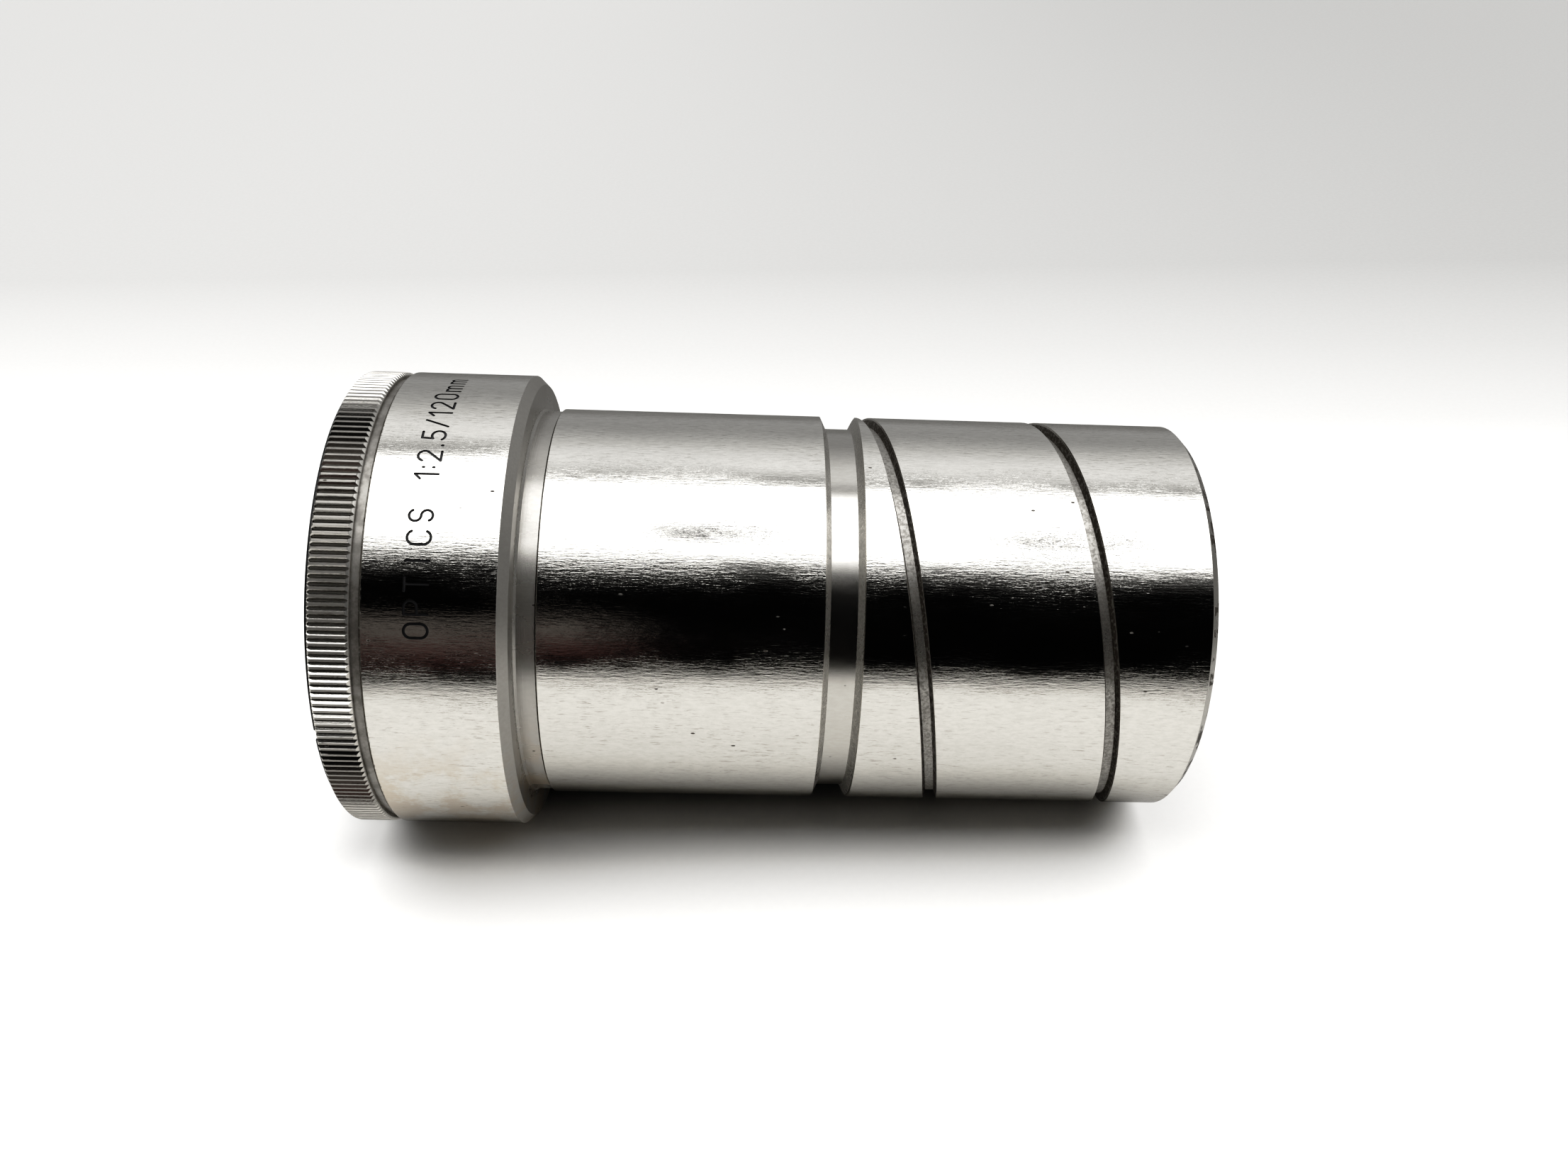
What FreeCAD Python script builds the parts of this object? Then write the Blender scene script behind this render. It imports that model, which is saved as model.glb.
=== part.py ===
# Slide-projection lens: a bright aluminium barrel with a spiral focusing groove and a wider head.
# All sizes are millimetres. The optical axis is X, +X points to the rear (the slide side) and +Z is up.
# The origin is on the axis at the front end of the barrel, where the head's neck meets it.
import FreeCAD, Part
import math
import os
import Sketcher

Vector = FreeCAD.Vector

# Driving dimensions: alias, value, meaning. Names ending in _front or _rear of the head and the front
# cell count forwards from the barrel's front end; those of the barrel and the tube count rearwards.
SIZES = [
    ("barrel_radius", 26.25, "outside of the barrel, for a standard 52.5 mm sleeve"),
    ("barrel_length", 82.65, "barrel, front end to rear end"),
    ("barrel_bore_radius", 23.4, "blackened bore of the barrel"),
    ("rear_bevel", 1.0, "45 degree bevel round the rear end"),
    ("edge_break", 0.1, "small bevel on turned edges"),
    ("ring_groove_front", 34.53, "front edge of the ring groove"),
    ("ring_groove_width", 4.9, "ring groove, edge to edge"),
    ("ring_groove_depth", 1.65, "ring groove depth"),
    ("ring_groove_slope", 0.8, "axial run of each groove flank"),
    ("spiral_pitch", 23.0, "axial travel of the focusing groove in one turn"),
    ("spiral_width", 1.9, "focusing groove width at the surface"),
    ("spiral_floor", 1.1, "focusing groove width at its floor"),
    ("spiral_depth", 1.2, "focusing groove depth"),
    ("spiral_start", 37.0, "middle of the focusing groove where it leaves the ring groove"),
    ("spiral_runout", 2.0, "how far the cutter runs on past the rear end"),
    ("spiral_roll", 9.3, "angle of the groove's start about the axis"),
    ("ridge_depth", 0.35, "anti-reflection ridges in the barrel bore"),
    ("ridge_step", 2.0, "spacing of those ridges"),
    ("spigot_radius", 24.75, "head spigot screwed into the barrel"),
    ("spigot_length", 8.0, "length of the spigot inside the barrel"),
    ("spigot_gap", 0.2, "gap behind the spigot"),
    ("thread_gap", 0.08, "radial gap between two threads"),
    ("slip_gap", 0.05, "radial gap of a part that slips into another"),
    ("joint_line", 0.15, "open line between the neck and the barrel"),
    ("neck_radius", 25.9, "neck between the head and the barrel"),
    ("neck_length", 2.7, "neck, from the head's rear face to the barrel"),
    ("neck_corner", 0.3, "bevel in the corner between the neck and the head"),
    ("head_radius", 30.6, "outside of the head"),
    ("head_front", 19.7, "front face of the head"),
    ("head_front_bevel", 0.3, "bevel on the head's front edge"),
    ("head_rear_bevel", 1.15, "bevel on the head's rear edge"),
    ("head_seat", 6.5, "inside shoulder of the head"),
    ("cell_thread_radius", 28.0, "fine thread of the front cell"),
    ("thread_pitch", 0.75, "pitch of the front cell's thread"),
    ("thread_depth", 0.4, "depth of the front cell's thread"),
    ("thread_flat", 0.09, "flat on the crest of that thread, along the axis"),
    ("grip_radius", 30.55, "tips of the straight knurl"),
    ("grip_depth", 0.42, "depth of the straight knurl"),
    ("grip_front", 25.4, "front end of the knurl"),
    ("grip_rear", 20.85, "rear end of the knurl"),
    ("grip_teeth", 204, "number of knurl teeth"),
    ("grip_gap_share", 0.9, "width of the gap between two teeth over the tooth spacing"),
    ("recess_radius", 29.75, "plain shoulder behind the knurl"),
    ("ring_front", 25.65, "front face of the knurled ring"),
    ("ring_rear", 11.5, "rear end of the knurled ring, inside the head"),
    ("face_gap", 0.08, "gap between the ring and the head when screwed home"),
    ("lip_front", 26.15, "front of the black bezel"),
    ("lip_radius", 29.6, "outside of the black bezel's lip"),
    ("bezel_thread_radius", 27.4, "thread that holds the bezel in the knurled ring"),
    ("bezel_thread_rear", 20.5, "rear end of that thread"),
    ("bezel_mouth_radius", 26.9, "wide front end of the bezel's cone"),
    ("bezel_cone_rear", 20.9, "rear end of the bezel's cone"),
    ("bezel_nose", 16.45, "rear end of the bezel, just clear of the glass"),
    ("aperture_radius", 24.2, "clear opening of the front glass"),
    ("front_glass_radius", 25.0, "edge of the front glass"),
    ("front_glass_vertex", 23.0, "front surface of the front glass on the axis"),
    ("front_glass_thickness", 10.0, "front glass on the axis"),
    ("front_curve_1", 47.11, "front glass, front surface"),
    ("front_curve_2", 1313.8, "front glass, rear surface"),
    ("front_edge_rear", 12.74, "rear of the front glass at its edge"),
    ("shim_thickness", 0.3, "thin spacing rings"),
    ("tube_radius", 23.1, "outside of the inner lens tube"),
    ("tube_flange_radius", 27.5, "flange of the lens tube"),
    ("tube_flange_thickness", 2.0, "flange of the lens tube"),
    ("tube_lock_thickness", 1.6, "ring that locks the lens tube"),
    ("tube_lock_opening", 24.5, "opening of that ring"),
    ("tube_bore_radius", 22.0, "front bore of the lens tube"),
    ("tube_shoulder", 20.5, "front of the inside shoulder of the lens tube"),
    ("tube_rear", 38.5, "rear end of the lens tube"),
    ("tube_bevel", 0.4, "bevel round that end"),
    ("tube_thread_radius", 21.0, "rear thread of the lens tube"),
    ("middle_glass_radius", 18.5, "edge of the middle glass"),
    ("middle_glass_vertex", 6.82, "middle glass, front surface on the axis"),
    ("middle_glass_thickness", 2.5, "middle glass on the axis"),
    ("middle_curve_1", 65.74, "middle glass, hollow front surface"),
    ("middle_curve_2", 39.16, "middle glass, hollow rear surface"),
    ("middle_edge_front", 4.16, "front of the middle glass at its edge"),
    ("middle_edge_rear", 13.96, "rear of the middle glass at its edge"),
    ("cell_front", 1.2, "front of the middle cell"),
    ("cell_lip", 1.0, "rear lip of the middle cell"),
    ("cell_thread_bore", 19.5, "front thread of the middle cell"),
    ("cell_opening", 18.0, "clear opening of the middle retainer"),
    ("cell_lock_thickness", 1.6, "ring that locks the middle cell"),
    ("cell_lock_opening", 19.9, "opening of that ring"),
    ("stop_radius", 17.2, "opening of the aperture stop"),
    ("stop_thickness", 0.4, "aperture stop"),
    ("rear_glass_radius", 20.0, "edge of the cemented rear pair"),
    ("rear_glass_vertex", 21.95, "rear pair, front surface on the axis"),
    ("flint_thickness", 2.5, "front glass of the rear pair on the axis"),
    ("crown_thickness", 9.0, "rear glass of the rear pair on the axis"),
    ("rear_curve_1", 92.36, "rear pair, front surface"),
    ("rear_curve_2", 73.75, "rear pair, cemented surface"),
    ("rear_curve_3", 54.97, "rear pair, rear surface"),
    ("rear_seat", 23.94, "rear of the tube's shoulder, where the pair rests"),
    ("rear_edge_rear", 30.0, "front of the ring that holds the pair"),
    ("cement_gap", 0.04, "cement between the two rear glasses"),
    ("rear_opening", 19.3, "clear opening at the rear pair"),
    ("rear_ring_length", 3.0, "ring that holds the rear pair"),
    ("baffle_opening", 21.2, "opening of the light baffles"),
    ("baffle_thickness", 2.0, "light baffles"),
    ("baffle_edge", 0.4, "thickness of a baffle at its opening"),
    ("front_baffle_place", 52.0, "front face of the front baffle"),
    ("rear_baffle_place", 74.0, "front face of the rear baffle"),
    ("slot_width", 1.6, "spanner slots"),
    ("slot_depth", 0.8, "spanner slots"),
    ("slot_overrun", 1.0, "how far a slot's cutter runs past the ring"),
    ("bezel_slot_length", 1.2, "spanner slots of the bezel, along the radius"),
    ("letter_height", 2.75, "height of the engraved letters"),
    ("letter_stroke", 0.32, "width of an engraved line"),
    ("letter_depth", 0.15, "depth of the engraving"),
    ("letter_place", 13.08, "middle of the letters"),
    ("word_step", 5.1, "turn from one letter of the word to the next, degrees"),
    ("figure_gap", 0.92, "gap between the figures"),
    ("group_gap", 4.1, "gap between the word and the figures"),
    ("letter_angle", 27.4, "first letter, degrees from the side towards the top"),
]

# Counts: ridges in the barrel bore as (first place, number), thread grooves and steps of the cone.
BORE_RIDGES = [(41.0, 5), (57.0, 8)]
THREAD_GROOVES = 9
CONE_STEPS = 6
# How many engraving depths tall the cutter of a letter is.
CUTTER_DEPTHS = 3

# Engraved letters on a grid one letter height tall: strokes are lines (x, y, x, y) and arcs
# (centre x, centre y, radius, start angle, end angle).
GLYPHS = {
    "O": (0.6, [(0, 0.3, 0, 0.7), (0.6, 0.3, 0.6, 0.7)],
          [(0.3, 0.7, 0.3, 0, 180), (0.3, 0.3, 0.3, 180, 360)]),
    "P": (0.57, [(0, 0, 0, 1), (0, 1, 0.3, 1), (0, 0.46, 0.3, 0.46)], [(0.3, 0.73, 0.27, -90, 90)]),
    "T": (0.6, [(0, 1, 0.6, 1), (0.3, 0, 0.3, 1)], []),
    "I": (0.02, [(0, 0, 0, 1)], []),
    "C": (0.58, [(0, 0.3, 0, 0.7)], [(0.3, 0.7, 0.3, 25, 180), (0.3, 0.3, 0.3, 180, 335)]),
    "S": (0.54, [], [(0.27, 0.745, 0.255, 25, 270), (0.27, 0.245, 0.245, -155, 90)]),
    "/": (0.42, [(0, 0, 0.42, 1)], []),
    "2": (0.52, [(0.481, 0.575, 0, 0), (0, 0, 0.52, 0)], [(0.26, 0.73, 0.27, -35, 165)]),
    ".": (0.04, [(0.02, 0.02, 0.02, 0.06)], []),
    ":": (0.04, [(0.02, 0.22, 0.02, 0.26), (0.02, 0.66, 0.02, 0.70)], []),
    "5": (0.52, [(0.48, 1, 0.09, 1), (0.09, 1, 0.054, 0.524)], [(0.24, 0.3, 0.29, -145, 130)]),
    "1": (0.24, [(0.24, 0, 0.24, 1), (0.24, 1, 0, 0.76)], []),
    "0": (0.5, [(0, 0.25, 0, 0.75), (0.5, 0.25, 0.5, 0.75)],
          [(0.25, 0.75, 0.25, 0, 180), (0.25, 0.25, 0.25, 180, 360)]),
    "m": (0.68, [(0, 0, 0, 0.62), (0.34, 0, 0.34, 0.45), (0.68, 0, 0.68, 0.45)],
          [(0.17, 0.45, 0.17, 0, 180), (0.51, 0.45, 0.17, 0, 180)]),
}
WORD = "OPTICS"
FIGURES = "1:2.5/120mm"

os.makedirs("parts", exist_ok=True)
doc = FreeCAD.newDocument("projection_lens")
sheet = doc.addObject("Spreadsheet::Sheet", "size")
for row, (alias, number, meaning) in enumerate(SIZES, start=1):
    sheet.set(f"A{row}", alias)
    sheet.set(f"B{row}", str(number))
    sheet.set(f"C{row}", meaning)
    sheet.setAlias(f"B{row}", alias)
doc.recompute()
parts = []


def value(expression):
    """The number that an expression of the sheet's cells gives."""
    return float(sheet.evalExpression(expression))


def new_body(name):
    """An empty body whose label names its file."""
    body = doc.addObject("PartDesign::Body", name)
    body.Label = name
    body.Placement = FreeCAD.Placement()
    return body


def origin_feature(body, role):
    """The plane or axis of the body's own origin with this role."""
    return [feature for feature in body.Origin.OriginFeatures if feature.Role == role][0]


def closed_sketch(body, name, plane, outline):
    """A sketch of one closed outline whose points are bound to the sheet: (across, up) expressions."""
    sketch = body.newObject("Sketcher::SketchObject", name)
    sketch.AttachmentSupport = [(origin_feature(body, plane), "")]
    sketch.MapMode = "FlatFace"
    points = [Vector(value(across), value(up), 0) for across, up in outline]
    count = len(points)
    lines = [Part.LineSegment(points[i], points[(i + 1) % count]) for i in range(count)]
    sketch.addGeometry(lines, False)
    links = [Sketcher.Constraint("Coincident", i, 2, (i + 1) % count, 1) for i in range(count)]
    places = []
    for i, point in enumerate(points):
        places.append(Sketcher.Constraint("DistanceX", i, 1, point.x))
        places.append(Sketcher.Constraint("DistanceY", i, 1, point.y))
    sketch.addConstraint(links + places)
    for i, (across, up) in enumerate(outline):
        sketch.setExpression(f"Constraints[{count + 2 * i}]", across)
        sketch.setExpression(f"Constraints[{count + 2 * i + 1}]", up)
    return sketch


def turned(name, outline):
    """A body turned about the X axis from an outline of (place along the axis, radius)."""
    body = new_body(name)
    sketch = closed_sketch(body, name + "_outline", "XY_Plane", outline)
    turn = body.newObject("PartDesign::Revolution", name + "_turn")
    turn.Profile = sketch
    turn.ReferenceAxis = (sketch, ["H_Axis"])
    turn.Angle = 360
    doc.recompute()
    return body


def cut_pocket(body, name, plane, outline, length, both_ways=False):
    """A pocket from one of the body's own planes, which has to take material away."""
    before = body.Shape.Volume
    pocket = body.newObject("PartDesign::Pocket", name)
    pocket.Profile = closed_sketch(body, name + "_outline", plane, outline)
    pocket.setExpression("Length", length)
    pocket.Midplane = both_ways
    pocket.Reversed = False
    doc.recompute()
    if not pocket.Shape.Volume < before:
        raise RuntimeError(name + " cuts nothing")
    return pocket


def repeat_round(body, feature, name, count):
    """The feature repeated round the X axis."""
    pattern = body.newObject("PartDesign::PolarPattern", name)
    pattern.Originals = [feature]
    pattern.Axis = (origin_feature(body, "X_Axis"), [""])
    pattern.Angle = 360
    pattern.setExpression("Occurrences", count)
    body.Tip = pattern
    doc.recompute()


def spanner_slots(body, name, face, inward, inner, outer):
    """Two slots for a pin spanner across a ring's end face; inward is + or - along the axis."""
    floor = f"{face} {inward} size.slot_depth"
    corners = [(face, inner), (face, outer), (floor, outer), (floor, inner)]
    slot = cut_pocket(body, name, "XY_Plane", corners, "size.slot_width", both_ways=True)
    repeat_round(body, slot, name + "_pair", "2")


def plain_ring(name, front, rear, inner, outer):
    """A flat ring between two places along the axis."""
    return turned(name, [(front, inner), (front, outer), (rear, outer), (rear, inner)])


def glass(name, front, rear, radius, surfaces):
    """A glass: a cylinder shaped by one ball per polished surface.

    Each surface is (operation, centre on the axis, radius): Common keeps what is inside the ball,
    for a bulging surface, and Cut keeps what is outside it, for a hollow one.
    """
    solid = doc.addObject("Part::Cylinder", name + "_blank")
    solid.Placement = FreeCAD.Placement(Vector(), FreeCAD.Rotation(Vector(0, 1, 0), 90))
    solid.setExpression("Radius", radius)
    solid.setExpression("Height", f"({rear}) - ({front})")
    solid.setExpression("Placement.Base.x", front)
    for number, (operation, centre, curve) in enumerate(surfaces, start=1):
        ball = doc.addObject("Part::Sphere", f"{name}_ball_{number}")
        ball.setExpression("Radius", curve)
        ball.setExpression("Placement.Base.x", centre)
        shaped = doc.addObject("Part::" + operation, f"{name}_surface_{number}")
        shaped.Base = solid
        shaped.Tool = ball
        solid = shaped
    doc.recompute()
    return finished(solid, name)


def finished(part, name):
    """Name the object as one finished piece of the lens and count it."""
    part.Label = name
    parts.append(part)
    return part


def barrel():
    """The barrel: ring groove, blackened bore with ridges, and the spiral focusing groove."""
    groove_rear = "size.ring_groove_front + size.ring_groove_width"
    floor = "size.barrel_radius - size.ring_groove_depth"
    bore = "size.barrel_bore_radius"
    outline = [
        ("0", "size.spigot_radius + size.thread_gap"),
        ("0", "size.barrel_radius - size.edge_break"),
        ("size.edge_break", "size.barrel_radius"),
        ("size.ring_groove_front", "size.barrel_radius"),
        ("size.ring_groove_front + size.ring_groove_slope", floor),
        (f"{groove_rear} - size.ring_groove_slope", floor),
        (groove_rear, "size.barrel_radius"),
        ("size.barrel_length - size.rear_bevel", "size.barrel_radius"),
        ("size.barrel_length", "size.barrel_radius - size.rear_bevel"),
        ("size.barrel_length", f"{bore} + size.ridge_depth"),
        ("size.barrel_length - size.ridge_depth", bore),
    ]
    for start, count in reversed(BORE_RIDGES):
        for ridge in reversed(range(count)):
            place = f"{start} + {ridge} * size.ridge_step"
            outline.append((f"{place} + size.ridge_step / 2", bore))
            outline.append((f"{place} + size.ridge_step / 4", f"{bore} + size.ridge_depth"))
            outline.append((place, bore))
    outline.append(("size.spigot_length + size.spigot_gap", bore))
    outline.append(("size.spigot_length + size.spigot_gap", "size.spigot_radius + size.thread_gap"))
    body = turned("barrel", outline)
    before = body.Shape.Volume
    spiral = body.newObject("PartDesign::SubtractiveHelix", "spiral")
    past = "size.barrel_radius + size.edge_break"
    spiral.Profile = closed_sketch(body, "spiral_outline", "XY_Plane", [
        ("size.spiral_start - size.spiral_width / 2", past),
        ("size.spiral_start - size.spiral_width / 2", "size.barrel_radius"),
        ("size.spiral_start - size.spiral_floor / 2", "size.barrel_radius - size.spiral_depth"),
        ("size.spiral_start + size.spiral_floor / 2", "size.barrel_radius - size.spiral_depth"),
        ("size.spiral_start + size.spiral_width / 2", "size.barrel_radius"),
        ("size.spiral_start + size.spiral_width / 2", past),
    ])
    spiral.ReferenceAxis = (spiral.Profile[0], ["H_Axis"])
    spiral.Mode = "pitch-height-angle"
    spiral.setExpression("Pitch", "size.spiral_pitch")
    spiral.setExpression("Height", "size.barrel_length + size.spiral_runout - size.spiral_start")
    spiral.LeftHanded = False
    spiral.Reversed = False
    doc.recompute()
    if not body.Shape.Volume < before:
        raise RuntimeError("the focusing groove cuts nothing")
    roll = FreeCAD.Rotation(Vector(1, 0, 0), value("size.spiral_roll"))
    body.Placement = FreeCAD.Placement(Vector(), roll)
    return finished(body, "barrel")


def stroke_outline(edges):
    """A closed face from the edges round one engraved stroke."""
    return Part.Face(Part.Wire(edges))


def straight_stroke(x1, y1, x2, y2, half):
    """A straight stroke with round ends."""
    along = Vector(x2 - x1, y2 - y1, 0).normalize()
    side = Vector(-along.y, along.x, 0) * half
    start, end = Vector(x1, y1, 0), Vector(x2, y2, 0)
    return stroke_outline([
        Part.LineSegment(start - side, end - side).toShape(),
        Part.Arc(end - side, end + along * half, end + side).toShape(),
        Part.LineSegment(end + side, start + side).toShape(),
        Part.Arc(start + side, start - along * half, start - side).toShape(),
    ])


def curved_stroke(x, y, radius, start, end, half):
    """A stroke along an arc, from the start angle to the end angle, with round ends."""
    centre = Vector(x, y, 0)

    def point(reach, angle):
        turn = math.radians(angle)
        return centre + Vector(math.cos(turn), math.sin(turn), 0) * reach

    def cap(angle, direction):
        turn = math.radians(angle)
        ahead = Vector(-math.sin(turn), math.cos(turn), 0) * half * direction
        return point(radius, angle) + ahead

    middle = (start + end) / 2
    inner, outer = radius - half, radius + half
    return stroke_outline([
        Part.Arc(point(outer, start), point(outer, middle), point(outer, end)).toShape(),
        Part.Arc(point(outer, end), cap(end, 1), point(inner, end)).toShape(),
        Part.Arc(point(inner, end), point(inner, middle), point(inner, start)).toShape(),
        Part.Arc(point(inner, start), cap(start, -1), point(outer, start)).toShape(),
    ])


def letter(character, height, half, depth):
    """The cutter for one letter, flat, centred on its width and height, standing up from the floor."""
    width, lines, arcs = GLYPHS[character]
    strokes = [straight_stroke(*[height * v for v in line], half) for line in lines]
    strokes += [curved_stroke(*[height * v for v in arc[:3]], *arc[3:], half) for arc in arcs]
    solids = [stroke.extrude(Vector(0, 0, depth * CUTTER_DEPTHS)) for stroke in strokes]
    cutter = solids[0].fuse(solids[1:]).removeSplitter() if len(solids) > 1 else solids[0]
    cutter.translate(Vector(-width * height / 2, -height / 2, -depth))
    return Part.makeCompound([cutter])


def letter_angles(height, radius):
    """The angle of each letter's middle: even steps in the word, and even gaps in the figures."""
    first, step = value("size.letter_angle"), value("size.word_step")
    angles = [first + step * number for number in range(len(WORD))]
    gap = value("size.group_gap")
    last = WORD[-1]
    for character in FIGURES:
        travel = (GLYPHS[last][0] + GLYPHS[character][0]) * height / 2 + gap
        angles.append(angles[-1] + math.degrees(travel / radius))
        gap = value("size.figure_gap")
        last = character
    return angles


def lettering():
    """The cutters for the generic lettering, set round the head with the tops towards the front."""
    height, half = value("size.letter_height"), value("size.letter_stroke / 2")
    depth, radius = value("size.letter_depth"), value("size.head_radius")
    standing = FreeCAD.Rotation(Vector(0, 0, 1), Vector(-1, 0, 0), Vector(0, -1, 0))
    on_side = FreeCAD.Placement(Vector(-value("size.letter_place"), -radius, 0), standing)
    cutters = []
    for character, angle in zip(WORD + FIGURES, letter_angles(height, radius)):
        cutter = letter(character, height, half, depth)
        round_head = FreeCAD.Placement(Vector(), FreeCAD.Rotation(Vector(1, 0, 0), -angle))
        cutter.Placement = round_head.multiply(on_side)
        cutters.append(cutter)
    feature = doc.addObject("Part::Feature", "lettering")
    feature.Shape = Part.makeCompound(cutters)
    feature.Placement = FreeCAD.Placement()
    return feature


def head():
    """The head: seat for the front cell, neck, spigot into the barrel, and the engraving."""
    thread_bore = "size.cell_thread_radius + size.thread_gap"
    tube_hole = "size.tube_radius + size.slip_gap"
    outline = [
        ("-size.head_front", thread_bore),
        ("-size.head_front", "size.head_radius - size.head_front_bevel"),
        ("-size.head_front + size.head_front_bevel", "size.head_radius"),
        ("-size.neck_length - size.head_rear_bevel", "size.head_radius"),
        ("-size.neck_length", "size.head_radius - size.head_rear_bevel"),
        ("-size.neck_length", "size.neck_radius + size.neck_corner"),
        ("-size.neck_length + size.neck_corner", "size.neck_radius"),
        ("-size.joint_line", "size.neck_radius"),
        ("-size.joint_line", "size.spigot_radius"),
        ("size.spigot_length", "size.spigot_radius"),
        ("size.spigot_length", tube_hole),
        ("-size.head_seat", tube_hole),
        ("-size.head_seat", thread_bore),
    ]
    shell = doc.addObject("Part::Cut", "head_shell")
    shell.Base = turned("head_blank", outline)
    shell.Tool = lettering()
    doc.recompute()
    if not shell.Shape.Volume < shell.Base.Shape.Volume:
        raise RuntimeError("the lettering cuts nothing")
    return finished(shell, "head_shell")


def knurled_ring():
    """The ring a hand turns: straight knurl outside, thread behind, seat for the front glass inside."""
    bore = "size.front_glass_radius + size.slip_gap"
    thread_bore = "size.bezel_thread_radius + size.thread_gap"
    root = "size.cell_thread_radius - size.thread_depth"
    bevel = "(size.ring_front - size.grip_front)"
    seat = "-size.front_edge_rear + size.shim_thickness"
    outline = [
        ("-size.ring_front", thread_bore),
        ("-size.ring_front", f"size.grip_radius - {bevel}"),
        ("-size.grip_front", "size.grip_radius"),
        ("-size.grip_rear - size.grip_depth", "size.grip_radius"),
        ("-size.grip_rear", "size.grip_radius - size.grip_depth"),
        ("-size.grip_rear", "size.recess_radius"),
        ("-size.head_front - size.face_gap", "size.recess_radius"),
        ("-size.head_front - size.face_gap", root),
    ]
    for groove in range(THREAD_GROOVES):
        place = f"-size.head_front + size.thread_pitch * {groove + 1}"
        outline.append((f"{place} - size.thread_pitch / 2", root))
        outline.append((f"{place} - size.thread_flat / 2", "size.cell_thread_radius"))
        outline.append((f"{place} + size.thread_flat / 2", "size.cell_thread_radius"))
    outline += [
        (f"-size.head_front + size.thread_pitch * {THREAD_GROOVES + 0.5}", root),
        ("-size.ring_rear", root),
        ("-size.ring_rear", "size.aperture_radius"),
        (seat, "size.aperture_radius"),
        (seat, bore),
        ("-size.bezel_thread_rear + size.edge_break", bore),
        ("-size.bezel_thread_rear + size.edge_break", thread_bore),
    ]
    body = turned("knurled_ring", outline)
    half_gap = "size.grip_gap_share * 180deg / size.grip_teeth"
    tip = "(size.grip_radius + size.edge_break)"
    notch = cut_pocket(body, "notch", "YZ_Plane", [
        ("size.grip_radius - size.grip_depth", "0"),
        (tip, f"{tip} * tan({half_gap})"),
        (tip, f"-{tip} * tan({half_gap})"),
    ], "size.ring_front + size.slot_overrun")
    repeat_round(body, notch, "knurl", "size.grip_teeth")
    return finished(body, "knurled_ring")


def front_bezel():
    """The black ring that holds the front glass, with a stepped cone in front of it."""
    reach = "(size.lip_front - size.bezel_cone_rear)"
    drop = "(size.bezel_mouth_radius - size.aperture_radius)"
    outline = [
        ("-size.bezel_nose", "size.aperture_radius"),
        ("-size.bezel_nose", "size.front_glass_radius - size.slip_gap"),
        ("-size.bezel_thread_rear", "size.front_glass_radius - size.slip_gap"),
        ("-size.bezel_thread_rear", "size.bezel_thread_radius"),
        ("-size.ring_front", "size.bezel_thread_radius"),
        ("-size.ring_front", "size.lip_radius"),
        ("-size.lip_front + size.edge_break", "size.lip_radius"),
        ("-size.lip_front", "size.lip_radius - size.edge_break"),
    ]
    for step in range(CONE_STEPS):
        radius = f"size.bezel_mouth_radius - {drop} * {step} / {CONE_STEPS}"
        outline.append((f"-size.lip_front + {reach} * {step} / {CONE_STEPS}", radius))
        outline.append((f"-size.lip_front + {reach} * {step + 1} / {CONE_STEPS}", radius))
    outline.append(("-size.bezel_cone_rear", "size.aperture_radius"))
    body = turned("front_bezel", outline)
    spanner_slots(body, "bezel_slots", "-size.lip_front", "+",
                  "size.lip_radius - size.bezel_slot_length", "size.lip_radius + size.slot_overrun")
    return finished(body, "front_bezel")


def lens_tube():
    """The inner tube that carries the middle cell and the rear pair of glasses."""
    flange_rear = "-size.head_seat - size.shim_thickness"
    glass_bore = "size.rear_glass_radius + size.slip_gap"
    outline = [
        (f"{flange_rear} - size.tube_flange_thickness", "size.tube_bore_radius"),
        (f"{flange_rear} - size.tube_flange_thickness", "size.tube_flange_radius"),
        (flange_rear, "size.tube_flange_radius"),
        (flange_rear, "size.tube_radius"),
        ("size.tube_rear - size.tube_bevel", "size.tube_radius"),
        ("size.tube_rear", "size.tube_radius - size.tube_bevel"),
        ("size.tube_rear", "size.tube_thread_radius + size.thread_gap"),
        ("size.rear_edge_rear + size.thread_depth / 2", "size.tube_thread_radius + size.thread_gap"),
        ("size.rear_edge_rear + size.thread_depth / 2", glass_bore),
        ("size.rear_seat", glass_bore),
        ("size.rear_seat", "size.rear_opening"),
        ("size.tube_shoulder", "size.rear_opening"),
        ("size.tube_shoulder", "size.tube_bore_radius"),
    ]
    return finished(turned("lens_tube", outline), "lens_tube")


def middle_cell():
    """The cell round the middle glass, open to the front."""
    outside = "size.tube_bore_radius - size.thread_gap"
    lip = "size.middle_edge_rear + size.slip_gap"
    outline = [
        ("size.cell_front", "size.cell_thread_bore"),
        ("size.cell_front", outside),
        (f"{lip} + size.cell_lip", outside),
        (f"{lip} + size.cell_lip", "size.stop_radius"),
        (lip, "size.stop_radius"),
        (lip, "size.middle_glass_radius + size.slip_gap"),
        ("size.middle_edge_front - size.slip_gap", "size.middle_glass_radius + size.slip_gap"),
        ("size.middle_edge_front - size.slip_gap", "size.cell_thread_bore"),
    ]
    return finished(turned("middle_cell", outline), "middle_cell")


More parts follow.
